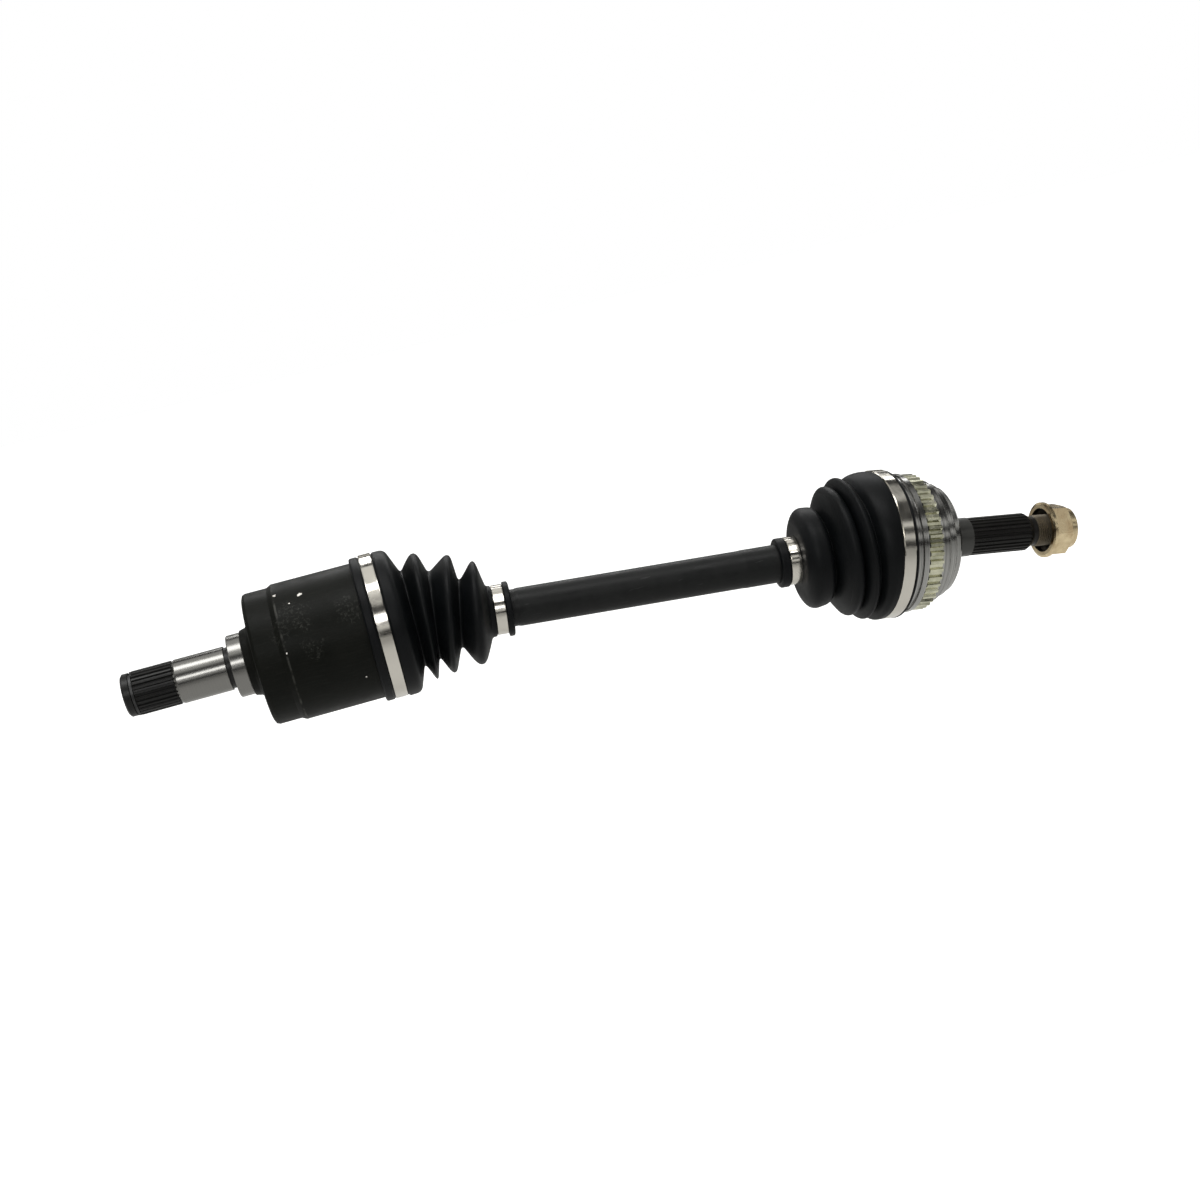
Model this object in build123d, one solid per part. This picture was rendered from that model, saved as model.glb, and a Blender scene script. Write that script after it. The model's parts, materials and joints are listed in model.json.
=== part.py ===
from build123d import *
import math
import os

# A front-wheel drive shaft: a plunging tripod joint, a solid bar and a six-ball fixed joint.
# The row's X axis is the inner stub's axis, pointing from the gearbox to the wheel.
# The origin is the middle of the ground journal that sits in the gearbox bearing.
# The shaft rests slightly articulated, as it lies on a bench. All sizes are millimetres.

# Joint centres and rest articulation
TRIPOD_X = 95.8
BAR_SPAN = 373.0
BALL_X = TRIPOD_X + BAR_SPAN
INNER_BEND = 6.1
INNER_ROLL = -32.2
OUTER_BEND = 7.9
OUTER_ROLL = 46.7

# Inner housing
JOURNAL_R = 14.5
JOURNAL_HALF = 16.0
CAN_R = 45.2
CAN_STEP_R = 43.6
CAN_LEFT = TRIPOD_X - 60
CAN_RIGHT = TRIPOD_X + 25
CAVITY_LEFT = TRIPOD_X - 50
CAVITY_R = 27.5
MOUTH_R = 31.2
TRACK_R = 16.3
INNER_SPLINE_R = 14.4
INNER_TEETH = 28

# Tripod
TRUNNION_PITCH_R = 24.0
TRUNNION_R = 8.5
ROLLER_R = 15.5
ROLLER_HALF = 5.5
NEEDLE_R = 1.25
NEEDLES = 24
NEEDLE_GAP = 0.03

# Bar
BAR_R = 12.75
BAR_END_R = 12.3
BAR_SPLINE_R = 12.0
SPIDER_BORE_R = 12.05

# Ball joint
BALL_R = 8.0
BALL_PITCH_R = 28.5
BALLS = 6
STAR_R = 28.8
CAGE_IN_R = 29.0
CAGE_OUT_R = 33.0
SOCKET_R = 33.15
GROOVE_R = 9.2

# Outer stub and its nut
TONE_SEAT_R = 43.0
TONE_TIP_R = 46.3
TONE_TEETH = 50
HUB_JOURNAL_R = 13.3
OUTER_SPLINE_R = 13.0
OUTER_TEETH = 26
THREAD_R = 10.9
THREAD_PITCH = 1.5
NUT_FACE = 108.0
NUT_HEX_FLAT = 32.0

# Boots and clamps
BOOT_WALL = 2.6
BAND_SEAT_IN = 47.4
BAND_SEAT_OUT = 49.5
BAND = 0.85
CLEAR = 0.05

INNER_HINGE = (0, math.cos(math.radians(INNER_ROLL)), math.sin(math.radians(INNER_ROLL)))
OUTER_HINGE = (0, math.cos(math.radians(OUTER_ROLL)), math.sin(math.radians(OUTER_ROLL)))
INNER_AXIS = Axis((TRIPOD_X, 0, 0), INNER_HINGE)
OUTER_AXIS = Axis((BALL_X, 0, 0), OUTER_HINGE)


def turned(profile):
    """A solid of revolution about X through (station, radius) points, closed on the axis."""
    outline = [(profile[0][0], 0)] + profile + [(profile[-1][0], 0)]
    return revolve(make_face(Polyline(*outline, close=True)), Axis.X)


def ring(outer, inner):
    """A ring about X between an outer and an inner (station, radius) profile."""
    return revolve(make_face(Polyline(*outer, *reversed(inner), close=True)), Axis.X)


def splined(start, end, tip, root, teeth):
    """A straight-sided spline about X from one station to another."""
    outline = []
    for tooth in range(teeth):
        for share, radius in ((-0.33, root), (-0.16, tip), (0.16, tip), (0.33, root)):
            angle = 2 * math.pi * (tooth + share) / teeth
            outline.append((radius * math.cos(angle), radius * math.sin(angle)))
    face = Plane.YZ.offset(start) * make_face(Polyline(*outline, close=True))
    return extrude(face, amount=end - start)


def snap_ring(centre, inner, outer, thickness, gap):
    """An open ring about X with a gap of the given angle at its top."""
    left = centre - thickness / 2
    right = centre + thickness / 2
    body = ring([(left, outer), (right, outer)], [(left, inner), (right, inner)])
    half = outer * 1.5 * math.tan(math.radians(gap / 2))
    slot = Polyline((0, 0), (half, outer * 1.5), (-half, outer * 1.5), close=True)
    cut = extrude(Plane.YZ.offset(left - 1) * make_face(slot), amount=thickness + 2)
    return body - cut


def on_bar(shape):
    """Turn a piece of the bar's group to its rest pose about the tripod centre."""
    return shape.rotate(INNER_AXIS, INNER_BEND)


def on_cage(shape):
    """The cage halves the outer joint's angle."""
    return on_bar(shape.rotate(OUTER_AXIS, OUTER_BEND / 2))


def on_wheel(shape):
    """Turn a piece of the outer stub's group to its rest pose."""
    return on_bar(shape.rotate(OUTER_AXIS, OUTER_BEND))


def save(shape, name):
    export_step(shape, f"parts/{name}.step")


# Inner housing and its clip

def stub_profile():
    """The housing's outline from the stub's free end to the mouth of the can."""
    root = INNER_SPLINE_R - 1.1
    groove = INNER_SPLINE_R - 1.9
    return [
        (-50.2, 12.6), (-49.0, 14.0), (-45.3, 14.0), (-44.9, groove), (-42.9, groove),
        (-42.7, root), (-17.5, root), (-JOURNAL_HALF, JOURNAL_R - 0.4),
        (-JOURNAL_HALF + 0.6, JOURNAL_R), (JOURNAL_HALF, JOURNAL_R), (16.4, 13.5), (19.6, 13.5),
        (19.6, 19.9), (20.2, 20.5), (28.4, 20.5), (29.0, 21.6), (CAN_LEFT - 3, 22.5),
        (CAN_LEFT - 0.6, 25.0), (CAN_LEFT - 0.6, 31.5), (CAN_LEFT + 0.7, 33.0), (CAN_LEFT + 0.7, 36.0),
        (CAN_LEFT, 37.2), (CAN_LEFT + 0.3, 41.2), (CAN_LEFT + 1.1, 42.9), (CAN_LEFT + 2.8, CAN_STEP_R),
        (CAN_LEFT + 17, CAN_STEP_R), (CAN_LEFT + 20, CAN_R), (CAN_RIGHT - 0.6, CAN_R),
        (CAN_RIGHT, CAN_R - 0.6),
    ]


def track(angle):
    """One roller track: a round-backed slot that opens into the can's central bore."""
    length = CAN_RIGHT + 1 - CAVITY_LEFT
    middle = CAVITY_LEFT + length / 2
    back = Pos(middle, TRUNNION_PITCH_R, 0) * Rot(0, 90, 0) * Cylinder(TRACK_R, length)
    throat = Pos(middle, TRUNNION_PITCH_R / 2, 0) * Box(length, TRUNNION_PITCH_R, 2 * TRACK_R)
    return Rot(angle, 0, 0) * (back + throat)


def trunnion_angles():
    """One trunnion lies along the inner joint's hinge."""
    return [INNER_ROLL + 120 * count for count in range(3)]


def inner_housing():
    body = turned(stub_profile())
    body += splined(-42.7, -17.5, INNER_SPLINE_R, INNER_SPLINE_R - 1.1, INNER_TEETH)
    length = CAN_RIGHT + 1 - CAVITY_LEFT
    body -= Pos(CAVITY_LEFT + length / 2, 0, 0) * Rot(0, 90, 0) * Cylinder(CAVITY_R, length)
    for angle in trunnion_angles():
        body -= track(angle)
    body -= turned([
        (CAN_RIGHT - 10, CAVITY_R - 0.1), (CAN_RIGHT, MOUTH_R), (CAN_RIGHT + 1, MOUTH_R + 0.4),
    ])
    return body


def inner_stub_circlip():
    return snap_ring(-43.9, INNER_SPLINE_R - 1.8, 14.3, 1.6, 34)


# Tripod

def radial(shape, angle):
    """Stand a piece built along X on a trunnion at the tripod centre."""
    return on_bar(Pos(TRIPOD_X, 0, 0) * Rot(angle, 0, 0) * Rot(0, 0, 90) * shape)


def tripod_spider():
    hub = Pos(TRIPOD_X, 0, 0) * turned([(-12, 15.5), (-10.5, 17), (10.5, 17), (12, 15.5)])
    arm = turned([
        (0, TRUNNION_R), (31.0, TRUNNION_R), (31.0, 7.6), (32.5, 7.6), (32.5, TRUNNION_R),
        (33.2, TRUNNION_R), (33.8, TRUNNION_R - 0.6),
    ])
    spider = on_bar(hub)
    for angle in trunnion_angles():
        spider += radial(arm, angle)
    bore = Pos(TRIPOD_X, 0, 0) * Rot(0, 90, 0) * Cylinder(SPIDER_BORE_R, 40)
    return spider - on_bar(bore)


def roller():
    """A spherical roller about its own trunnion, built along X."""
    bore = TRUNNION_R + 2 * (NEEDLE_R + NEEDLE_GAP)
    shell = Pos(TRUNNION_PITCH_R, 0, 0) * Sphere(ROLLER_R)
    left = TRUNNION_PITCH_R - ROLLER_HALF
    right = TRUNNION_PITCH_R + ROLLER_HALF
    blank = ring([(left, ROLLER_R + 1), (right, ROLLER_R + 1)], [(left, bore), (right, bore)])
    return blank & shell


def needle_set():
    """A full row of loose needles around one trunnion, built along X."""
    pitch = TRUNNION_R + NEEDLE_R + NEEDLE_GAP
    needle = Rot(0, 90, 0) * Cylinder(NEEDLE_R, 2 * ROLLER_HALF - 0.4)
    row = []
    for count in range(NEEDLES):
        row.append(Rot(count * 360 / NEEDLES, 0, 0) * Pos(TRUNNION_PITCH_R, pitch, 0) * needle)
    return row


def washer():
    return ring([(29.7, 14.0), (30.8, 14.0)], [(29.7, TRUNNION_R + CLEAR), (30.8, TRUNNION_R + CLEAR)])


def all_trunnions(shape):
    return Compound([radial(shape, angle).solid() for angle in trunnion_angles()])


# Bar

def axle_shaft():
    """The solid bar, from the spider's snap ring to the star's circlip."""
    outline = [
        (-17.5, 11.0), (-16.8, 11.6), (-14.3, 11.6), (-14.3, 10.4), (-12.4, 10.4), (-12.4, 11.3),
        (12.3, 11.3), (14.0, BAR_END_R), (110, BAR_END_R), (112, BAR_R), (262, BAR_R),
        (265, BAR_R + 0.2), (306, BAR_R + 0.2), (325, 11.2), (356, 11.2), (358, 10.6),
        (BAR_SPAN + 13.2, 10.6), (BAR_SPAN + 13.2, 9.9), (BAR_SPAN + 15, 9.9),
        (BAR_SPAN + 15, 11.2), (BAR_SPAN + 16.4, 11.2), (BAR_SPAN + 17, 10.6),
    ]
    bar = turned([(TRIPOD_X + station, radius) for station, radius in outline])
    bar += splined(TRIPOD_X - 12.4, TRIPOD_X + 12.3, BAR_SPLINE_R, 11.3, 30)
    bar += splined(BALL_X - 15, BALL_X + 13.2, 11.4, 10.6, 26)
    return on_bar(bar)


# Ball joint

def ball_angles():
    return [OUTER_ROLL + 30 + 360 / BALLS * count for count in range(BALLS)]


def groove(angle):
    """A ball groove: part of a torus around the joint centre, open towards the bar."""
    start = Plane.XZ * Pos(BALL_PITCH_R, 0) * Circle(GROOVE_R)
    arc = revolve(start, Axis.Z, 110)
    return Pos(BALL_X, 0, 0) * Rot(angle, 0, 0) * Rot(0, 0, 48) * arc


def slab(half_width, radius):
    """A round blank about X, centred on the ball joint."""
    return Pos(BALL_X, 0, 0) * Rot(0, 90, 0) * Cylinder(radius, 2 * half_width)


def inner_race():
    star = slab(12.5, STAR_R + 1) & (Pos(BALL_X, 0, 0) * Sphere(STAR_R))
    star -= slab(20, 11.5)
    for angle in ball_angles():
        star -= groove(angle)
    return on_bar(star)


def ball_cage():
    shell = slab(14, CAGE_OUT_R + 1) & (Pos(BALL_X, 0, 0) * Sphere(CAGE_OUT_R))
    shell -= Pos(BALL_X, 0, 0) * Sphere(CAGE_IN_R)
    for angle in ball_angles():
        window = Pos(0, BALL_PITCH_R, 0) * Box(2 * BALL_R + 0.2, 20, 18)
        shell -= Pos(BALL_X, 0, 0) * Rot(angle, 0, 0) * window
    return on_cage(shell)


def bearing_balls():
    balls = []
    for angle in ball_angles():
        ball = Pos(BALL_X, 0, 0) * Rot(angle, 0, 0) * Pos(0, BALL_PITCH_R, 0) * Sphere(BALL_R)
        balls.append(on_cage(ball).solid())
    return Compound(balls)


def thread_profile(start, end):
    """Ridges of the stub's metric thread as plain rings."""
    crests = []
    count = int((end - start) / THREAD_PITCH)
    for turn in range(count):
        left = start + turn * THREAD_PITCH
        crests += [(left, THREAD_R - 0.9), (left + 0.6, THREAD_R), (left + 0.85, THREAD_R)]
    return crests + [(start + count * THREAD_PITCH, THREAD_R - 0.9)]


def bell_profile():
    """The outer race's outline from its mouth to the stub's threaded end."""
    return [
        (-20, 45.5), (-19.4, 46.1), (-7.6, 46.1), (-7.4, 47.2), (-4.6, 47.2), (-4.2, 46.0),
        (-2.8, 46.0), (-2.4, 47.2), (1.2, 47.2), (1.8, TONE_SEAT_R), (12.2, TONE_SEAT_R),
        (12.4, 41.8), (18.4, 41.8), (19.4, 40.2), (20.4, 39.2), (24.2, 38.8), (25.6, 37.2),
        (28.6, 36.2), (30.4, 34.0), (32.2, 30.2), (34.0, 26.2), (36.2, 21.6), (38.6, 17.6),
        (40.4, 15.2), (41.0, HUB_JOURNAL_R), (50.8, HUB_JOURNAL_R), (51.4, 12.0), (94, 12.0),
        (97.2, 10.8), (97.6, 10.1), (100.6, 10.1),
    ]


def outer_race():
    stub = [(BALL_X + s, r) for s, r in bell_profile() + thread_profile(100.9, 126.4)]
    bell = turned(stub + [(BALL_X + 127.2, 9.9)])
    spline = splined(BALL_X + 51.0, BALL_X + 96.6, OUTER_SPLINE_R, 12.0, OUTER_TEETH)
    taper = turned([
        (BALL_X + 45, 14), (BALL_X + 93.4, 14), (BALL_X + 93.4, OUTER_SPLINE_R),
        (BALL_X + 96.8, 10.9),
    ])
    bell += spline & taper
    bell -= Pos(BALL_X, 0, 0) * Sphere(SOCKET_R)
    bell -= turned([(BALL_X - 21, 36.0), (BALL_X - 20, 35.0), (BALL_X - 15, 29.4), (BALL_X, 29.4)])
    for angle in ball_angles():
        bell -= groove(angle)
    return on_wheel(bell)


def abs_tone_ring():
    """The speed sensor's toothed ring, pressed on the bell."""
    left = BALL_X + 2.4
    right = BALL_X + 11.8
    teeth = splined(left, right, TONE_TIP_R, TONE_TIP_R - 1.7, TONE_TEETH)
    bore = Pos(left + 5, 0, 0) * Rot(0, 90, 0) * Cylinder(TONE_SEAT_R + CLEAR, 20)
    return on_wheel(teeth - bore)


def spindle_nut():
    """A flanged hub nut with a thin collar for staking."""
    face = BALL_X + NUT_FACE
    corner = NUT_HEX_FLAT / math.sqrt(3)
    flange = turned([(face, 17.6), (face + 0.6, 19.2), (face + 2.6, 19.2), (face + 4.4, 16)])
    hexagon = Plane.YZ.offset(face + 2) * RegularPolygon(corner, 6)
    block = extrude(hexagon, amount=14)
    crown = turned([
        (face + 1, 19.6), (face + 13.2, 19.6), (face + 15.6, 15.4), (face + 16.2, 14.8),
    ])
    collar = turned([(face + 15, 14.2), (face + 20.4, 13.9), (face + 20.9, 13.4)])
    nut = flange + (block & crown) + collar
    recess = turned([(face - 1, 15.0), (face + 3.2, 15.0), (face + 5.4, 12.0)])
    bore = Pos(face + 10, 0, 0) * Rot(0, 90, 0) * Cylinder(THREAD_R + CLEAR, 40)
    return on_wheel(nut - recess - bore)


# Boots: circular sections strung on a centre line that bends smoothly between two axes

def smooth(value, start, end):
    share = min(max((value - start) / (end - start), 0), 1)
    return share * share * (3 - 2 * share)


def bellows(profile, centre_x, hinge, bend, straight, turned_end):
    """A ruled tube of circles; its centre line turns about the hinge between two stations."""
    sections = []
    for station, radius in profile:
        disc = Plane.YZ.offset(centre_x + station) * make_face(CenterArc((0, 0), radius, 0, 360))
        sections.append(disc.rotate(hinge, bend * smooth(station, straight, turned_end)))
    return loft(sections, ruled=True)


def rounded_crests(points):
    """Widen every crest and valley of a bellows outline into a short round."""
    rounded = []
    for station, radius in points:
        rounded += [(station - 0.9, radius), (station + 0.9, radius)]
    return rounded


def inner_boot():
    folds = rounded_crests([
        (41.8, 31.6), (50.6, 40.4), (55.8, 29.0), (66.5, 36.6), (72.4, 21.2), (84.2, 31.6),
    ])
    outer = [(12, 47.4), (12.9, 48.1), (17.6, 48.1), (18, BAND_SEAT_IN), (27, BAND_SEAT_IN),
             (27.5, 48.1), (33.4, 46.8)]
    outer += folds + [(92.3, 17.2), (95, 16.8), (95.3, 15.6), (102.8, 15.6), (103.2, 18.3),
                      (106.4, 18.3), (107, 17.4)]
    inner = [(11, CAN_R + CLEAR), (25.2, CAN_R + CLEAR), (33, 43.8)]
    inner += [(station, radius - BOOT_WALL) for station, radius in folds]
    inner += [(92, 14.8), (95, BAR_END_R + CLEAR), (108, BAR_END_R + CLEAR)]
    shell = bellows(outer, TRIPOD_X, INNER_AXIS, INNER_BEND, 34, 95)
    return shell - bellows(inner, TRIPOD_X, INNER_AXIS, INNER_BEND, 34, 95)


def outer_boot():
    folds = [(-69.8, 25.0), (-66.5, 31.2), (-57.5, 31.4), (-54.6, 27.8), (-52.4, 32.6), (-48.2, 40.6),
             (-43.2, 40.8), (-41.3, 36.2), (-38.8, 46.4), (-34.2, 47.2), (-31.0, 43.0), (-27.5, 48.4)]
    bar_r = BAR_R + 0.2 + CLEAR
    outer = [(-85, 16.2), (-84.4, 16.8), (-79, 16.8), (-78.6, 15.4), (-71, 15.4), (-70.6, 16.6)]
    outer += folds + [(-23, 50.0), (-18.4, 50.0), (-18, BAND_SEAT_OUT), (-9.6, BAND_SEAT_OUT),
                      (-9.3, 50.2), (-7.9, 50.2), (-7.6, 49.6)]
    inner = [(-86, bar_r), (-71.5, bar_r)]
    inner += [(station, radius - BOOT_WALL) for station, radius in folds]
    inner += [(-22, 46.2), (-7, 46.2)]
    shell = bellows(outer, BALL_X, OUTER_AXIS, OUTER_BEND, -69, -22)
    return on_bar(shell - bellows(inner, BALL_X, OUTER_AXIS, OUTER_BEND, -69, -22))


def clamp(left, width, radius, overlap):
    """A folded steel band about X; its overlapping end stands proud over part of the turn."""
    right = left + width
    inside = radius + CLEAR
    outside = inside + BAND
    band = ring([(left, outside), (right, outside)], [(left, inside), (right, inside)])
    lap = ring([(left + 0.6, outside + BAND), (right - 0.6, outside + BAND)],
               [(left + 0.6, outside - 0.2), (right - 0.6, outside - 0.2)])
    reach = 3 * radius
    near = (reach * math.sin(math.radians(overlap / 2)), reach * math.cos(math.radians(overlap / 2)))
    wedge = Polyline((0, 0), (-near[0], near[1]), near, close=True)
    return band + (lap & extrude(Plane.YZ.offset(left) * make_face(wedge), amount=width))


def build():
    save(inner_housing(), "inner_housing")
    save(inner_stub_circlip(), "inner_stub_circlip")
    save(tripod_spider(), "tripod_spider")
    for count, angle in enumerate(trunnion_angles(), 1):
        save(radial(roller(), angle), f"tripod_roller_{count}")
        needles = [radial(needle, angle).solid() for needle in needle_set()]
        save(Compound(needles), f"trunnion_{count}_needles")
    save(all_trunnions(washer()), "trunnion_washers")
    save(all_trunnions(snap_ring(31.75, 7.7, 11.0, 1.4, 60)), "trunnion_snap_rings")
    save(on_bar(snap_ring(TRIPOD_X - 13.35, 10.5, 14.5, 1.7, 50)), "spider_snap_ring")
    save(axle_shaft(), "axle_shaft")
    save(inner_race(), "inner_race")
    save(on_bar(snap_ring(BALL_X + 14.1, 10.0, 12.6, 1.6, 50)), "inner_race_circlip")
    save(ball_cage(), "ball_cage")
    save(bearing_balls(), "bearing_balls")
    save(outer_race(), "outer_race")
    save(abs_tone_ring(), "abs_tone_ring")
    save(spindle_nut(), "spindle_nut")
    save(inner_boot(), "inner_boot")
    save(clamp(TRIPOD_X + 18.5, 8, BAND_SEAT_IN, 100), "inner_boot_large_clamp")
    save(on_bar(clamp(TRIPOD_X + 95.6, 7, 15.6, 110)), "inner_boot_small_clamp")
    save(outer_boot(), "outer_boot")
    save(on_wheel(clamp(BALL_X - 17.9, 8.2, BAND_SEAT_OUT, 100)), "outer_boot_large_clamp")
    save(on_bar(clamp(BALL_X - 78.4, 7.2, 15.4, 110)), "outer_boot_small_clamp")


os.makedirs("parts", exist_ok=True)
build()
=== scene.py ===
"""The looks of a front-wheel drive shaft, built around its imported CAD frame.

The machined pieces keep their CAD shapes and get detailed materials. The two rubber boots and the
four band clamps are modelled here. Places are in metres, in the frame of the CAD model. Stations,
radii and widths are in millimetres.
"""
import json
import math

import bmesh
import bpy
from mathutils import Matrix, Vector


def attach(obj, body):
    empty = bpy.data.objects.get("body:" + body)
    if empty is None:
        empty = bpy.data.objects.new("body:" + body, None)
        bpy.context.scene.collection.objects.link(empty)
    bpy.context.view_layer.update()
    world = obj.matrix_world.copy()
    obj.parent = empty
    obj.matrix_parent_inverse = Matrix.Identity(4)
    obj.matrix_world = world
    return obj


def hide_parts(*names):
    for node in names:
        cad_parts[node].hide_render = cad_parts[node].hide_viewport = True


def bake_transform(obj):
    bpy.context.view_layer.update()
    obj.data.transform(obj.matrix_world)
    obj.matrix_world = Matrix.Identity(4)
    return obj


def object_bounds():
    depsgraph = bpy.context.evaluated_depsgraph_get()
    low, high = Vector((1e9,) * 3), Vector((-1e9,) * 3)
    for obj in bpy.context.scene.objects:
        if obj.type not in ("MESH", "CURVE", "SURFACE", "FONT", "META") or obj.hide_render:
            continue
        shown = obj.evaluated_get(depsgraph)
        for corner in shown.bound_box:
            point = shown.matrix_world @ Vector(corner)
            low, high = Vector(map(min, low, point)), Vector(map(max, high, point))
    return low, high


MM = 0.001
TURN = 2 * math.pi

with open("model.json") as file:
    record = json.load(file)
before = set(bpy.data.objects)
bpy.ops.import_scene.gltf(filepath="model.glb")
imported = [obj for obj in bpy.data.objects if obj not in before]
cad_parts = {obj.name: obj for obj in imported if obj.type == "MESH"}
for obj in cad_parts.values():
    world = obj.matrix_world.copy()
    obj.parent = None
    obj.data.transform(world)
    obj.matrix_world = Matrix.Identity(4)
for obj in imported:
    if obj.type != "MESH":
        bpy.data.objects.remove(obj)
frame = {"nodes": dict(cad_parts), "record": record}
cad_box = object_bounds()

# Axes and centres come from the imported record
RECORD = frame["record"]
JOINTS = {joint["name"]: joint for joint in RECORD["behaviour"]["joints"]}
MOUNTS = {mount["name"]: mount for mount in RECORD["mounts"]}
STUB_AXIS = Vector((1, 0, 0))
INNER_CENTRE = Vector(JOINTS["inner_tilt"]["pos_m"])
INNER_HINGE = Vector(JOINTS["inner_tilt"]["axis"])
OUTER_CENTRE = Vector(JOINTS["cage_swing"]["pos_m"])
OUTER_HINGE = Vector(JOINTS["cage_swing"]["axis"])
BAR_AXIS = (OUTER_CENTRE - INNER_CENTRE).normalized()
WHEEL_AXIS = Vector(MOUNTS["hub_journal"]["axis"])
INNER_BEND = STUB_AXIS.angle(BAR_AXIS)
OUTER_BEND = BAR_AXIS.angle(WHEEL_AXIS)


# ---------------------------------------------------------------- mesh helpers

def smooth(value, start, end):
    """0 before start, 1 after end, and an even turn between them."""
    share = min(max((value - start) / (end - start), 0), 1)
    return share * share * (3 - 2 * share)


CORNER_STEPS = 7
SHARP_EDGE = math.radians(38)


def filleted(points):
    """Round each corner of a (station, radius, fillet) outline with an arc-like curve."""
    outline = [points[0][:2]]
    for before, corner, after in zip(points, points[1:], points[2:]):
        here = Vector(corner[:2])
        back = Vector(before[:2]) - here
        ahead = Vector(after[:2]) - here
        reach = min(corner[2], 0.48 * back.length, 0.48 * ahead.length)
        if reach <= 0:
            outline.append(tuple(here))
            continue
        start = here + back.normalized() * reach
        end = here + ahead.normalized() * reach
        for step in range(CORNER_STEPS + 1):
            t = step / CORNER_STEPS
            spot = start * (1 - t) ** 2 + here * 2 * t * (1 - t) + end * t ** 2
            outline.append(tuple(spot))
    outline.append(points[-1][:2])
    return outline


def refined(outline, longest):
    """Split long straight stretches so that the mesh bends evenly."""
    fine = [outline[0]]
    for a, b in zip(outline, outline[1:]):
        parts = max(1, math.ceil(math.dist(a, b) / longest))
        for part in range(1, parts + 1):
            share = part / parts
            fine.append((a[0] + (b[0] - a[0]) * share, a[1] + (b[1] - a[1]) * share))
    return fine


def between(outline, start, end):
    """The part of an outline between two stations, with points exactly on them."""
    cut = []
    for a, b in zip(outline, outline[1:]):
        for edge in (start, end):
            if a[0] < edge < b[0]:
                share = (edge - a[0]) / (b[0] - a[0])
                cut.append((edge, a[1] + (b[1] - a[1]) * share))
    cut += [point for point in outline if start <= point[0] <= end]
    return sorted(set(cut))


def new_object(name, mesh_maker):
    """A named object from a bmesh, smooth-shaded with its sharp edges kept."""
    shape = bmesh.new()
    mesh_maker(shape)
    bmesh.ops.recalc_face_normals(shape, faces=shape.faces)
    for face in shape.faces:
        face.smooth = True
    for edge in shape.edges:
        if len(edge.link_faces) == 2 and edge.calc_face_angle() > SHARP_EDGE:
            edge.smooth = False
    mesh = bpy.data.meshes.new(name)
    shape.to_mesh(mesh)
    shape.free()
    piece = bpy.data.objects.new(name, mesh)
    bpy.context.scene.collection.objects.link(piece)
    return piece


def skin(shape, rings, closed_tube=True):
    """Join rings of points with quads; a closed tube also joins its last ring to its first."""
    loops = [[shape.verts.new(point) for point in ring] for ring in rings]
    pairs = list(zip(loops, loops[1:]))
    if closed_tube:
        pairs.append((loops[-1], loops[0]))
    for one, other in pairs:
        count = len(one)
        for here in range(count):
            there = (here + 1) % count
            shape.faces.new((one[here], one[there], other[there], other[here]))


# ---------------------------------------------------------------- boots

class Spine:
    """A joint's centre line: straight along one axis, then turning about the hinge to the other.

    The folds between two stations also lean further about their own centres, as soft rubber does.
    """

    def __init__(self, centre, axis, hinge, bend, straight, turned, lean):
        self.centre = centre
        self.axis = axis
        self.hinge = hinge
        self.bend = bend
        self.straight = straight
        self.turned = turned
        self.lean_axis, self.lean, self.lean_stations = lean
        self.side = hinge.cross(axis).normalized()

    def ring(self, station, radius, segments):
        angle = self.bend * smooth(station, self.straight, self.turned)
        start, full, ease, end = self.lean_stations
        extra = self.lean * smooth(station, start, full) * (1 - smooth(station, ease, end))
        turn = Matrix.Rotation(angle, 3, self.hinge)
        lean = Matrix.Rotation(extra, 3, self.lean_axis)
        points = []
        for segment in range(segments):
            around = TURN * segment / segments
            out = self.hinge * math.cos(around) + self.side * math.sin(around)
            spot = self.axis * station * MM + lean @ out * radius * MM
            points.append(self.centre + turn @ spot)
        return points


INNER_LEAN = (INNER_HINGE, math.radians(8.5), (40, 66, 72, 98))
OUTER_LEAN = (Vector((0, -1, 0)), math.radians(6.5), (-74, -33, -32, -19))
INNER_SPINE = Spine(INNER_CENTRE, STUB_AXIS, INNER_HINGE, INNER_BEND, 34, 95, INNER_LEAN)
OUTER_SPINE = Spine(OUTER_CENTRE, BAR_AXIS, OUTER_HINGE, OUTER_BEND, -69, -22, OUTER_LEAN)
BOOT_SEGMENTS = 144
BOOT_WALL = 2.4
RING_STEP = 1.6

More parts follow.
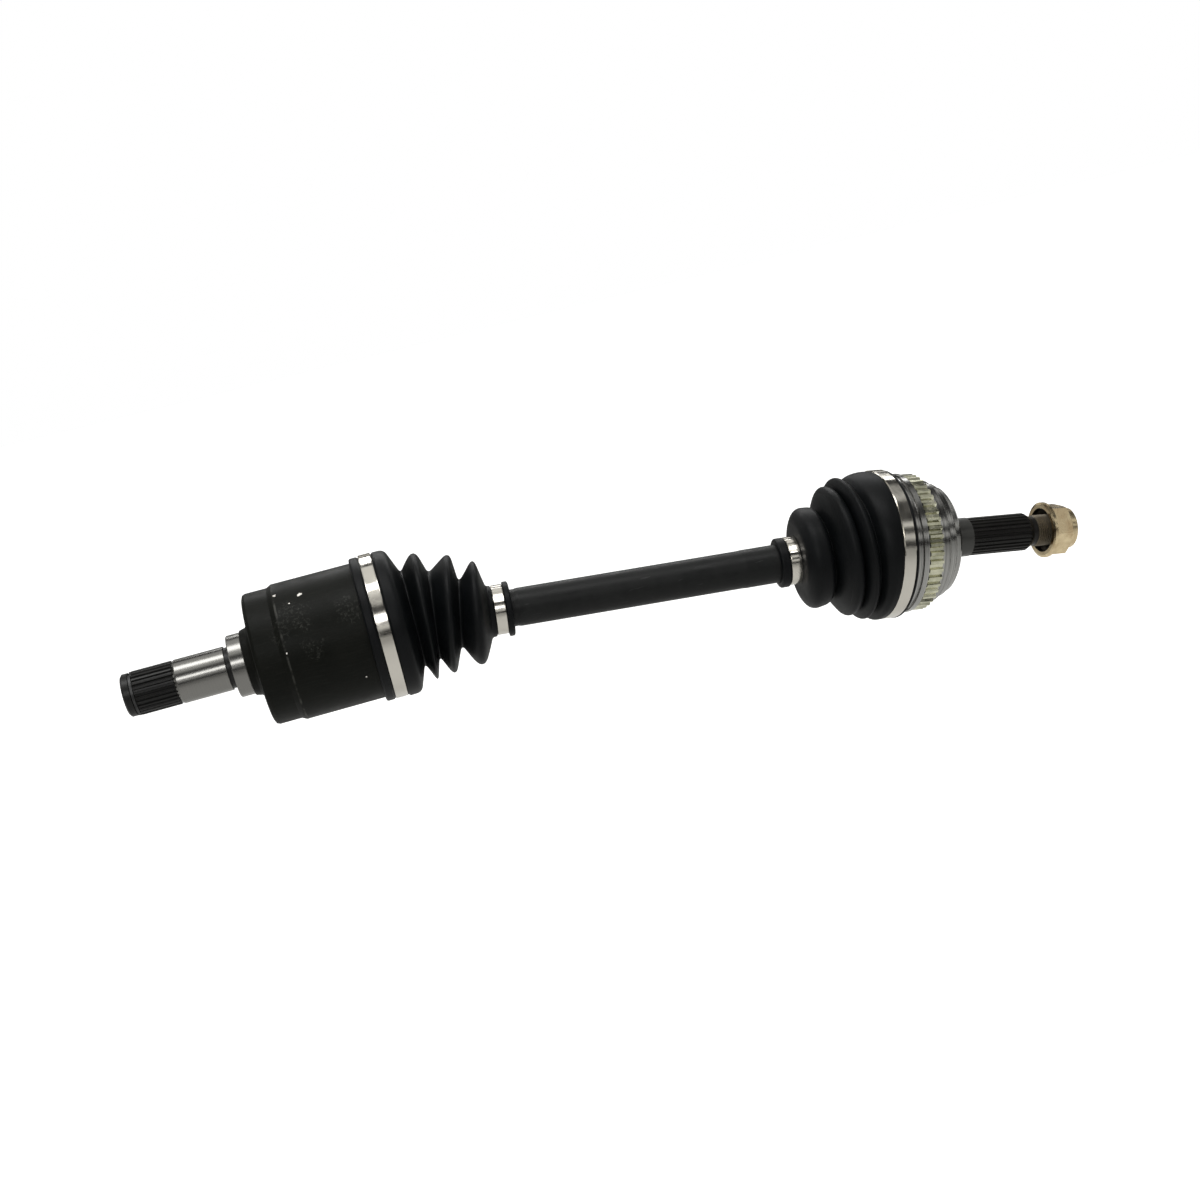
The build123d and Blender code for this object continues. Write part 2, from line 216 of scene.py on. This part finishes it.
# Outline points are station from the joint centre, radius and corner round, in millimetres
INNER_BOOT = [
    (12, 46.6, 0), (12.3, 47.6, 0.5), (13.2, 48.1, 0.8), (17.2, 48.1, 0.5), (17.9, 47.4, 0.4),
    (27.0, 47.4, 0.4), (27.8, 48.5, 0.9), (35.8, 48.4, 10.0), (42.4, 31.2, 2.6), (51.2, 45.2, 7.0),
    (56.4, 27.8, 3.2), (68.4, 41.8, 7.0), (73.4, 20.8, 4.0), (85.2, 38.2, 9.0), (92.2, 17.2, 1.8),
    (94.9, 16.9, 0.4), (95.4, 15.6, 0.3), (102.8, 15.6, 0.3), (103.3, 18.2, 0.5),
    (106.5, 18.2, 0.7), (107.0, 16.8, 0),
]
OUTER_BOOT = [
    (-85.0, 15.8, 0), (-84.3, 16.8, 0.6), (-79.2, 16.8, 0.5), (-78.6, 15.4, 0.3), (-71.2, 15.4, 0.3),
    (-70.9, 17.2, 0.4), (-70.7, 27.6, 5.0), (-66.0, 34.8, 6.0), (-55.4, 33.2, 4.0), (-53.2, 27.0, 1.4),
    (-50.6, 36.8, 4.5), (-45.4, 45.0, 5.0), (-40.8, 43.2, 2.8), (-40.0, 37.0, 1.0),
    (-38.8, 44.6, 3.6), (-36.2, 49.4, 3.4), (-33.0, 46.6, 3.0), (-31.4, 42.0, 1.4),
    (-28.2, 48.6, 4.0), (-23.6, 50.4, 3.0), (-18.6, 50.2, 0.6), (-18.0, 49.5, 0.3), (-9.6, 49.5, 0.3),
    (-9.2, 50.2, 0.4), (-8.0, 50.2, 0.5), (-7.5, 49.2, 0),
]
INNER_SEATS = ((12, 25.2, 45.26), (94.5, 107, 12.4))
OUTER_SEATS = ((-85, -71, 13.02), (-21.8, -7.5, 46.2))


def lining(station, radius, seats):
    """The boot's inside radius: its seats at both cuffs, and one wall thickness elsewhere."""
    for start, end, seat in seats:
        if start - 0.01 <= station <= end + 0.01:
            return seat
    return radius - BOOT_WALL


def boot_part(name, spine, points, seats, start, end):
    """A closed rubber tube between two stations of a boot."""
    outline = between(refined(filleted(points), RING_STEP), start, end)

    def make(shape):
        outside = [spine.ring(s, r, BOOT_SEGMENTS) for s, r in outline]
        inside = [spine.ring(s, lining(s, r, seats), BOOT_SEGMENTS) for s, r in outline]
        skin(shape, outside + inside[::-1])

    return new_object(name, make)


# Each boot is split at a station, and each half bends between its own two stations
INNER_SPLIT = 44.4
OUTER_SPLIT = -48.0


def build_inner_boot():
    start, end = INNER_BOOT[0][0], INNER_BOOT[-1][0]
    cuff = boot_part("inner_boot_cuff_half", INNER_SPINE, INNER_BOOT, INNER_SEATS, start, INNER_SPLIT)
    neck = boot_part("inner_boot_neck_half", INNER_SPINE, INNER_BOOT, INNER_SEATS, INNER_SPLIT, end)
    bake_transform(cuff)
    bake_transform(neck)
    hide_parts("inner_boot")
    return [cuff, neck]


def build_outer_boot():
    start, end = OUTER_BOOT[0][0], OUTER_BOOT[-1][0]
    neck = boot_part("outer_boot_neck_half", OUTER_SPINE, OUTER_BOOT, OUTER_SEATS, start, OUTER_SPLIT)
    cuff = boot_part("outer_boot_cuff_half", OUTER_SPINE, OUTER_BOOT, OUTER_SEATS, OUTER_SPLIT, end)
    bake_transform(neck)
    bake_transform(cuff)
    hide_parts("outer_boot")
    return [neck, cuff]


# ---------------------------------------------------------------- clamps

BAND_THICK = 0.45
BAND_EDGE = 0.12
BAND_GAP = 0.06
LAP_START = math.radians(-62)
LAP_END = math.radians(46)
LAP_STEPS = 72
TAB_SPOTS = (LAP_START + 0.10, LAP_START + 0.26, LAP_END - 0.12)
TAB_SPAN = 0.055
TAB_STEPS = 4


def strip(shape, centre, axis, up, span, width, inner, outer, steps=None):
    """A curved strip of rectangular section; inner and outer are radii as functions of the angle."""
    side = axis.cross(up).normalized()
    start, end = span
    whole = abs(end - start - TURN) < 1e-6
    count = steps or max(8, int(120 * (end - start) / TURN))
    rings = []
    for step in range(count if whole else count + 1):
        angle = start + (end - start) * step / count
        out = up * math.cos(angle) + side * math.sin(angle)
        low = inner(angle)
        high = outer(angle)
        half = width / 2
        corners = [
            (-half, low), (half, low), (half, high - BAND_EDGE), (half - BAND_EDGE, high),
            (-half + BAND_EDGE, high), (-half, high - BAND_EDGE),
        ]
        rings.append([centre + (axis * along + out * radius) * MM for along, radius in corners])
    skin(shape, rings, closed_tube=whole)
    if not whole:
        for ring in (0, -1):
            corners = [min(shape.verts, key=lambda v: (v.co - point).length) for point in rings[ring]]
            shape.faces.new(corners)


def clamp(name, body, node, centre, axis, radius, width, up):
    """A band clamp: one full turn, a second layer over the top with rolled tabs, and its end fold."""
    top = BAND_GAP + BAND_THICK

    def flat(level):
        return lambda angle: radius + level

    def crimped(angle):
        share = (angle - LAP_START) / (LAP_END - LAP_START)
        wave = 0.17 * (1 - math.cos(share * 10 * math.pi)) if 0.2 < share < 0.8 else 0.0
        return radius + 2 * BAND_THICK + 0.12 - wave

    def make(shape):
        strip(shape, centre, axis, up, (0, TURN), width, flat(BAND_GAP), flat(top))
        strip(shape, centre, axis, up, (LAP_START, LAP_END), width * 0.9, flat(top - 0.1), crimped,
              steps=LAP_STEPS)
        for spot in TAB_SPOTS:
            strip(shape, centre, axis, up, (spot, spot + TAB_SPAN), width, flat(BAND_THICK),
                  flat(2 * BAND_THICK + 0.42), steps=TAB_STEPS)

    piece = new_object(name, make)
    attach(piece, body)
    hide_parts(node)
    return piece


def facing(axis):
    """The direction square to an axis that points most nearly up."""
    return (Vector((0, 0, 1)) - axis * axis.z).normalized()


def build_clamps():
    places = [
        ("inner_large_band", "inner_housing", "inner_boot_large_clamp", INNER_CENTRE, STUB_AXIS,
         22.5, 47.4, 8.0, 0.75),
        ("inner_small_band", "axle_shaft", "inner_boot_small_clamp", INNER_CENTRE, BAR_AXIS,
         99.1, 15.6, 7.0, 0.6),
        ("outer_small_band", "axle_shaft", "outer_boot_small_clamp", OUTER_CENTRE, BAR_AXIS,
         -74.8, 15.4, 7.2, 0.6),
        ("outer_large_band", "outer_race", "outer_boot_large_clamp", OUTER_CENTRE, WHEEL_AXIS,
         -13.8, 49.5, 8.2, 0.75),
    ]
    bands = []
    for name, body, node, centre, axis, station, radius, width, turn in places:
        up = Matrix.Rotation(turn, 3, axis) @ facing(axis)
        middle = centre + axis * station * MM
        bands.append(clamp(name, body, node, middle, axis, radius, width, up))
    return bands


# ---------------------------------------------------------------- material helpers

class Look:
    """A node material with short calls for the nodes that the looks below share."""

    def __init__(self, name):
        self.material = bpy.data.materials.new(name)
        self.material.use_nodes = True
        self.tree = self.material.node_tree
        self.tree.nodes.clear()
        self.place = self.add("ShaderNodeTexCoord").outputs["Object"]

    def add(self, kind, inputs=None, **settings):
        node = self.tree.nodes.new(kind)
        for key, value in settings.items():
            setattr(node, key, value)
        for key, value in (inputs or {}).items():
            if isinstance(value, bpy.types.NodeSocket):
                self.tree.links.new(value, node.inputs[key])
            else:
                node.inputs[key].default_value = value
        return node

    def math(self, operation, one, other):
        return self.add("ShaderNodeMath", {0: one, 1: other}, operation=operation).outputs[0]

    def local(self, origin):
        """Object coordinates measured from an origin."""
        return self.add("ShaderNodeVectorMath", {0: self.place, 1: origin},
                        operation="SUBTRACT").outputs[0]

    def dot(self, direction, origin):
        """Distance in millimetres along a direction from an origin."""
        product = self.add("ShaderNodeVectorMath", {0: self.local(origin), 1: direction},
                           operation="DOT_PRODUCT")
        return self.math("MULTIPLY", product.outputs["Value"], 1 / MM)

    def radius(self, direction, origin):
        """Distance in millimetres from an axis."""
        across = self.add("ShaderNodeVectorMath", {0: self.local(origin), 1: direction},
                          operation="CROSS_PRODUCT")
        length = self.add("ShaderNodeVectorMath", {0: across.outputs[0]}, operation="LENGTH")
        return self.math("MULTIPLY", length.outputs["Value"], 1 / MM)

    def inside(self, value, start, end, soft):
        """1 between two values, falling to 0 over a soft edge."""
        rise = self.ramp(value, start - soft, start + soft, 0, 1)
        fall = self.ramp(value, end - soft, end + soft, 1, 0)
        return self.math("MULTIPLY", rise, fall)

    def ramp(self, value, low, high, to_low, to_high):
        inputs = {"Value": value, "From Min": low, "From Max": high, "To Min": to_low, "To Max": to_high}
        return self.add("ShaderNodeMapRange", inputs).outputs[0]

    def near(self, spot, size, ragged):
        """1 around a spot in millimetres, falling to 0 at an edge that a noise makes ragged."""
        inputs = {0: self.place, 1: tuple(value * MM for value in spot)}
        gap = self.add("ShaderNodeVectorMath", inputs, operation="DISTANCE").outputs["Value"]
        gap = self.math("MULTIPLY", gap, 1 / (size * MM))
        gap = self.math("ADD", gap, self.ramp(ragged, 0.3, 0.7, -0.45, 0.45))
        return self.ramp(gap, 0.75, 1.05, 1, 0)

    def vector(self, x, y, z):
        return self.add("ShaderNodeCombineXYZ", {0: x, 1: y, 2: z}).outputs[0]

    def scaled(self, x, y, z):
        """Object coordinates stretched by a different factor along each axis."""
        return self.add("ShaderNodeVectorMath", {0: self.place, 1: (x, y, z)},
                        operation="MULTIPLY").outputs[0]

    def noise(self, vector, scale, detail, roughness=0.55):
        inputs = {"Vector": vector, "Scale": scale, "Detail": detail, "Roughness": roughness}
        return self.add("ShaderNodeTexNoise", inputs).outputs["Fac"]

    def mix(self, share, one, other):
        node = self.add("ShaderNodeMix", data_type="RGBA")
        for key, value in ((0, share), (6, one), (7, other)):
            if isinstance(value, bpy.types.NodeSocket):
                self.tree.links.new(value, node.inputs[key])
            else:
                node.inputs[key].default_value = value if key == 0 else (*value, 1)
        return node.outputs[2]

    def blend(self, share, one, other):
        node = self.add("ShaderNodeMix", {0: share, 2: one, 3: other}, data_type="FLOAT")
        return node.outputs[0]

    def bump(self, height, strength, distance, normal=None):
        inputs = {"Height": height, "Strength": strength, "Distance": distance}
        if normal is not None:
            inputs["Normal"] = normal
        return self.add("ShaderNodeBump", inputs).outputs[0]

    def finish(self, colour, roughness, metallic, normal, **extra):
        inputs = {"Base Color": colour, "Roughness": roughness, "Metallic": metallic, "Normal": normal}
        inputs.update({key.replace("_", " "): value for key, value in extra.items()})
        shader = self.add("ShaderNodeBsdfPrincipled", inputs)
        output = self.add("ShaderNodeOutputMaterial")
        self.tree.links.new(shader.outputs[0], output.inputs["Surface"])
        return self.material


def turned_streaks(look, station, scale):
    """Lathe marks: fine noise that changes only along the axis."""
    return look.noise(look.vector(station, 0.0, 0.0), scale, 4.0, 0.7)


# ---------------------------------------------------------------- materials

def rubber():
    look = Look("boot_rubber")
    cloud = look.noise(look.place, 38.0, 4.0)
    pores = look.noise(look.place, 2600.0, 2.0)
    colour = look.mix(look.ramp(cloud, 0.35, 0.7, 0, 1), (0.0022, 0.0027, 0.0031), (0.0044, 0.0050, 0.0058))
    roughness = look.ramp(cloud, 0.3, 0.7, 0.40, 0.52)
    normal = look.bump(pores, 0.10, 0.0002)
    normal = look.bump(cloud, 0.10, 0.0012, normal)
    return look.finish(colour, roughness, 0.0, normal, Specular_IOR_Level=0.125)


# Handling marks on the can: places in millimetres and sizes
CHIPS = (((57.7, -17.6, 41.6), 1.2), ((73.2, -22.5, 39.2), 1.4), ((56.9, -44.2, 9.6), 0.5),
         ((66.0, -27.0, 36.3), 0.5), ((100.0, -40.9, -19.2), 0.5))
RUBS = (((65.5, -34.5, 29.2), 13.0), ((73.5, -44.3, 8.9), 6.5), ((101.5, -37.5, 25.3), 11.0),
        ((55.5, -39.5, 22.0), 8.0))


# Stations from the frame's origin along the stub
JOURNAL = (-17.2, 16.2)
COLLAR = (19.7, 28.8)
CAN_PAINT = (28.7, 29.1)
CAN_STEP = (56.0, 57.2)


def housing_steel_and_paint():
    """The inner housing: black spline, ground journal and collar, and a scuffed black can."""
    look = Look("inner_housing")
    x = look.dot(STUB_AXIS, (0, 0, 0))
    streaks = turned_streaks(look, x, 2.2)
    ground = look.math("MAXIMUM", look.inside(x, *JOURNAL, 0.12), look.inside(x, *COLLAR, 0.12))
    painted = look.ramp(x, *CAN_PAINT, 0, 1)
    cloud = look.noise(look.place, 55.0, 5.0)
    ragged = look.noise(look.place, 700.0, 3.0)
    steel = look.mix(streaks, (0.15, 0.147, 0.14), (0.28, 0.275, 0.26))
    dark = look.mix(cloud, (0.005, 0.005, 0.005), (0.011, 0.011, 0.010))
    worn_edge = look.math("MULTIPLY", look.inside(x, *CAN_STEP, 0.25),
                          look.ramp(look.noise(look.place, 90.0, 4.0), 0.46, 0.62, 0, 0.8))
    lines = look.ramp(look.noise(look.scaled(90.0, 900.0, 900.0), 1.0, 3.0, 0.65), 0.50, 0.68, 0, 1)
    dust = look.ramp(look.noise(look.place, 520.0, 6.0, 0.75), 0.50, 0.74, 0, 0.8)
    marks = look.math("MAXIMUM", look.math("MULTIPLY", lines, dust), dust)
    rubs = 0.0
    for spot, size in RUBS:
        rubs = look.math("MAXIMUM", rubs, look.near(spot, size, look.noise(look.place, 120.0, 4.0)))
    marks = look.math("ADD", look.math("MULTIPLY", marks, rubs), look.math("MULTIPLY", lines, 0.05))
    marks = look.math("MAXIMUM", marks, worn_edge)
    chips = 0.0
    for spot, size in CHIPS:
        chips = look.math("MAXIMUM", chips, look.near(spot, size, ragged))
    paint = look.mix(look.ramp(cloud, 0.3, 0.75, 0, 1), (0.0034, 0.0040, 0.0028), (0.0062, 0.0066, 0.0050))
    paint = look.mix(look.math("MULTIPLY", marks, 0.55), paint, (0.10, 0.10, 0.09))
    paint = look.mix(chips, paint, (0.80, 0.77, 0.72))
    colour = look.mix(ground, dark, steel)
    colour = look.mix(painted, colour, paint)
    metallic = look.blend(painted, look.blend(ground, 0.2, 1.0), look.math("MULTIPLY", chips, 0.5))
    rough_bare = look.blend(ground, 0.36, look.ramp(streaks, 0.3, 0.7, 0.17, 0.26))
    rough_paint = look.ramp(cloud, 0.3, 0.7, 0.38, 0.55)
    normal = look.bump(streaks, 0.10, 0.0002)
    grain = look.noise(look.place, 900.0, 3.0)
    normal = look.bump(grain, look.math("MULTIPLY", painted, 0.16), 0.0004, normal)
    specular = look.blend(painted, 0.3, 0.09)
    return look.finish(colour, look.blend(painted, rough_bare, rough_paint), metallic, normal,
                       Specular_IOR_Level=specular)


BAR_ROUGH_FROM = (262, 266)


def bar_paint():
    """The bar: slightly rough black paint over a forged surface."""
    look = Look("axle_shaft")
    station = look.dot(BAR_AXIS, INNER_CENTRE)
    cloud = look.noise(look.place, 70.0, 5.0)
    grit = look.noise(look.place, 1100.0, 3.0)
    scuffs = look.ramp(look.noise(look.scaled(60.0, 500.0, 500.0), 1.0, 3.0), 0.66, 0.78, 0, 0.5)
    colour = look.mix(look.ramp(cloud, 0.3, 0.7, 0, 1), (0.0060, 0.0066, 0.0066), (0.0115, 0.0120, 0.0118))
    colour = look.mix(scuffs, colour, (0.05, 0.05, 0.05))
    coarse = look.ramp(station, *BAR_ROUGH_FROM, 0.10, 0.22)
    normal = look.bump(grit, coarse, 0.0004)
    normal = look.bump(cloud, 0.10, 0.0008, normal)
    return look.finish(colour, look.ramp(cloud, 0.3, 0.7, 0.36, 0.52), 0.0, normal,
                       Specular_IOR_Level=0.16)


# Stations from the outer joint's centre along the wheel axis
HUB_COLLAR = (40.6, 50.9)
STUB_FROM = (40.2, 40.9)
THREAD = (101, 130)


def bell_steel():
    """The outer race: turned bell, ground land and a black oxide spline and thread."""
    look = Look("outer_race")
    station = look.dot(WHEEL_AXIS, OUTER_CENTRE)
    streaks = turned_streaks(look, station, 2.6)
    broad = turned_streaks(look, station, 0.75)
    cloud = look.noise(look.place, 60.0, 4.0)
    bright = look.mix(look.ramp(streaks, 0.35, 0.65, 0, 1), (0.20, 0.20, 0.20), (0.66, 0.65, 0.62))
    bright = look.mix(look.ramp(broad, 0.42, 0.58, 0, 0.62), bright, (0.10, 0.10, 0.10))
    black = look.mix(cloud, (0.006, 0.006, 0.006), (0.018, 0.017, 0.015))
    collar = look.inside(station, *HUB_COLLAR, 0.3)
    stub = look.ramp(station, *STUB_FROM, 0, 1)
    threaded = look.inside(station, *THREAD, 0.2)
    black = look.mix(look.math("MULTIPLY", collar, 0.6), black, (0.09, 0.09, 0.085))
    colour = look.mix(stub, bright, black)
    colour = look.mix(look.math("MULTIPLY", threaded, 0.5), colour, (0.22, 0.18, 0.12))
    metallic = look.blend(stub, 1.0, 0.6)
    rough_bell = look.ramp(streaks, 0.3, 0.7, 0.10, 0.22)
    rough_stub = look.ramp(cloud, 0.3, 0.7, 0.24, 0.40)
    roughness = look.blend(stub, rough_bell, rough_stub)
    normal = look.bump(streaks, look.blend(stub, 0.16, 0.05), 0.0003)
    return look.finish(colour, roughness, metallic, normal)


# The nut's inner face: the station that the painted shade in its recess reaches, and the recess's radius
NUT_RECESS_SHADE = (113.4, 15.1)


def plated(name, low, high, roughness, centre, axis, recess=None):
    """Zinc plate: tinted metal with a soft mottle, faint lathe marks and perhaps painted shade inside a
    recess.
    """
    look = Look(name)
    station = look.dot(axis, centre)
    cloud = look.noise(look.place, 120.0, 4.0)
    streaks = turned_streaks(look, station, 5.0)
    tint = look.ramp(look.math("ADD", look.math("MULTIPLY", cloud, 0.7), look.math("MULTIPLY", streaks, 0.3)),
                     0.35, 0.65, 0, 1)
    colour = look.mix(tint, low, high)
    shine = look.ramp(cloud, 0.3, 0.7, roughness - 0.05, roughness + 0.08)
    if recess is not None:
        depth, radius = recess
        # Painted shade: a near-black colour inside the recess stands in for the shade that falls in the nut's
        # bore
        recess_shade = look.math("MULTIPLY", look.ramp(station, depth, depth + 0.6, 1, 0),
                           look.ramp(look.radius(axis, centre), radius, radius + 0.3, 1, 0))
        colour = look.mix(recess_shade, colour, (0.022, 0.018, 0.012))
        shine = look.blend(recess_shade, shine, 0.55)
    normal = look.bump(streaks, 0.12, 0.0003)
    normal = look.bump(look.noise(look.place, 1500.0, 2.0), 0.08, 0.0002, normal)
    return look.finish(colour, shine, 1.0, normal)


BAND_COLOUR = (0.68, 0.65, 0.59)


def band_steel(name, centre, axis):
    """Bright rolled stainless strip."""
    look = Look(name)
    station = look.dot(axis, centre)
    streaks = turned_streaks(look, station, 7.0)
    cloud = look.noise(look.place, 90.0, 3.0)
    darker = tuple(channel * 0.82 for channel in BAND_COLOUR)
    colour = look.mix(streaks, darker, BAND_COLOUR)
    normal = look.bump(streaks, 0.06, 0.0002)
    normal = look.bump(cloud, 0.10, 0.0008, normal)
    return look.finish(colour, look.ramp(cloud, 0.3, 0.7, 0.10, 0.20), 1.0, normal)


def plain_steel(name, low, high, roughness):
    """Hardened and ground steel of the hidden joint pieces."""
    look = Look(name)
    cloud = look.noise(look.place, 140.0, 4.0)
    fine = look.noise(look.place, 1800.0, 2.0)
    colour = look.mix(look.ramp(cloud, 0.35, 0.65, 0, 1), low, high)
    return look.finish(colour, look.ramp(cloud, 0.3, 0.7, roughness - 0.05, roughness + 0.08), 1.0,
                       look.bump(fine, 0.06, 0.0002))


def repaint(names, material):
    """Give carried-over CAD nodes a new material."""
    for name in names:
        node = frame["nodes"][name]
        node.data.materials.clear()
        node.data.materials.append(material)


def dress(pieces, material):
    for piece in pieces:
        piece.data.materials.append(material)


def apply_materials(boots, bands):
    dress(boots, rubber())
    dress(bands, band_steel("clamp_steel", INNER_CENTRE, BAR_AXIS))
    repaint(["inner_housing"], housing_steel_and_paint())
    repaint(["axle_shaft"], bar_paint())
    repaint(["outer_race"], bell_steel())
    repaint(["abs_tone_ring"], plated("tone_ring", (0.40, 0.40, 0.29), (0.80, 0.79, 0.62), 0.20,
                                      OUTER_CENTRE, WHEEL_AXIS))
    repaint(["spindle_nut"], plated("spindle_nut", (0.48, 0.35, 0.20), (0.88, 0.74, 0.48), 0.19,
                                    OUTER_CENTRE, WHEEL_AXIS, NUT_RECESS_SHADE))
    spring = plain_steel("spring_steel", (0.03, 0.03, 0.03), (0.07, 0.07, 0.07), 0.4)
    repaint(["inner_stub_circlip", "trunnion_washers", "trunnion_snap_rings", "spider_snap_ring",
             "inner_race_circlip"], spring)
    bearing = plain_steel("bearing_steel", (0.50, 0.50, 0.51), (0.66, 0.66, 0.67), 0.16)
    hidden = ["inner_race", "bearing_balls"]
    for count in (1, 2, 3):
        hidden += [f"tripod_roller_{count}", f"trunnion_{count}_needles"]
    repaint(hidden, bearing)
    repaint(["tripod_spider", "ball_cage"], plain_steel("joint_steel", (0.28, 0.28, 0.28),
                                                        (0.42, 0.42, 0.43), 0.3))


# ---------------------------------------------------------------- studio

CAMERA_PLACE = (0.1172, -0.9663, 0.2239)
CAMERA_HEADING = math.radians(-8.52)
CAMERA_DROP = math.radians(14.12)
CAMERA_ROLL = math.radians(-13.31)
CAMERA_LENS = 45.0


def build_camera():
    lens = bpy.data.cameras.new("camera")
    lens.lens = CAMERA_LENS
    lens.sensor_width = 36.0
    lens.clip_end = 50.0
    camera = bpy.data.objects.new("camera", lens)
    bpy.context.scene.collection.objects.link(camera)
    turn = Matrix.Rotation(CAMERA_HEADING, 4, "Z")
    turn @= Matrix.Rotation(math.pi / 2 - CAMERA_DROP, 4, "X")
    turn @= Matrix.Rotation(CAMERA_ROLL, 4, "Z")
    camera.matrix_world = Matrix.Translation(CAMERA_PLACE) @ turn
    bpy.context.scene.camera = camera


def area_light(name, place, target, size, power):
    data = bpy.data.lights.new(name, "AREA")
    data.shape = "RECTANGLE"
    data.size, data.size_y = size
    data.energy = power
    lamp = bpy.data.objects.new(name, data)
    bpy.context.scene.collection.objects.link(lamp)
    lamp.location = place
    aim = Vector(target) - Vector(place)
    lamp.rotation_euler = aim.to_track_quat("-Z", "Y").to_euler()


FLOOR_DROP = 0.42


def build_floor():
    """A wide pale floor that the camera sees as plain white, low enough for every pose."""
    def make(shape):
        bmesh.ops.create_grid(shape, x_segments=2, y_segments=2, size=12.0)

    floor = new_object("floor", make)
    floor.location = (0.3, 0, cad_box[0][2] - FLOOR_DROP)
    look = Look("pale_floor")
    paper = look.noise(look.place, 6.0, 2.0)
    colour = look.mix(paper, (0.80, 0.80, 0.79), (0.84, 0.84, 0.83))
    pale = look.add("ShaderNodeBsdfDiffuse", {"Color": colour})
    glow = look.add("ShaderNodeEmission", {"Color": (1, 1, 1, 1), "Strength": 0.86})
    seen = look.add("ShaderNodeLightPath").outputs["Is Camera Ray"]
    both = look.add("ShaderNodeAddShader", {0: pale.outputs[0], 1: glow.outputs[0]})
    shown = look.add("ShaderNodeMixShader", {0: seen, 1: pale.outputs[0], 2: both.outputs[0]})
    output = look.add("ShaderNodeOutputMaterial")
    look.tree.links.new(shown.outputs[0], output.inputs["Surface"])
    floor.data.materials.append(look.material)


# Brightness of the room from straight down (0) to straight up (1)
STUDIO_BANDS = (
    (0.0, 0.30), (0.46, 0.12), (0.49, 0.015), (0.555, 0.02), (0.58, 0.72), (0.63, 0.80), (0.645, 0.04),
    (0.70, 0.03), (0.725, 0.85), (0.78, 0.70), (0.80, 0.04), (0.89, 0.05), (0.92, 0.95), (1.0, 0.85),
)


def build_world():
    """White to the camera; to the metal, a studio with a bright ceiling and dark gaps."""
    world = bpy.data.worlds.new("studio")
    world.use_nodes = True
    tree = world.node_tree
    tree.nodes.clear()
    direction = tree.nodes.new("ShaderNodeTexCoord").outputs["Generated"]
    split = tree.nodes.new("ShaderNodeSeparateXYZ")
    tree.links.new(direction, split.inputs[0])
    height = tree.nodes.new("ShaderNodeMapRange")
    height.inputs["From Min"].default_value = -1
    tree.links.new(split.outputs["Z"], height.inputs["Value"])
    ramp = tree.nodes.new("ShaderNodeValToRGB")
    tree.links.new(height.outputs[0], ramp.inputs[0])
    while len(ramp.color_ramp.elements) < len(STUDIO_BANDS):
        ramp.color_ramp.elements.new(0.5)
    for element, (spot, level) in zip(ramp.color_ramp.elements, STUDIO_BANDS):
        element.position = spot
        element.color = (level, level, level * 0.97, 1)
    studio = tree.nodes.new("ShaderNodeBackground")
    tree.links.new(ramp.outputs[0], studio.inputs["Color"])
    white = tree.nodes.new("ShaderNodeBackground")
    white.inputs["Color"].default_value = (1, 1, 1, 1)
    seen = tree.nodes.new("ShaderNodeLightPath")
    mix = tree.nodes.new("ShaderNodeMixShader")
    tree.links.new(seen.outputs["Is Camera Ray"], mix.inputs[0])
    tree.links.new(studio.outputs[0], mix.inputs[1])
    tree.links.new(white.outputs[0], mix.inputs[2])
    output = tree.nodes.new("ShaderNodeOutputWorld")
    tree.links.new(mix.outputs[0], output.inputs["Surface"])
    bpy.context.scene.world = world


def build_studio():
    bpy.context.scene.view_settings.view_transform = "Standard"
    build_camera()
    build_floor()
    build_world()
    area_light("top_box", (0.15, -0.25, 1.15), (0.28, 0, 0), (1.5, 0.35), 8)
    area_light("front_box", (-0.2, -1.5, 0.75), (0.25, 0, 0), (1.0, 0.30), 5)
    area_light("back_strip", (0.5, 0.9, 0.7), (0.3, 0, 0), (1.2, 0.25), 4)


boots = build_inner_boot() + build_outer_boot()
bands = build_clamps()
apply_materials(boots, bands)
build_studio()
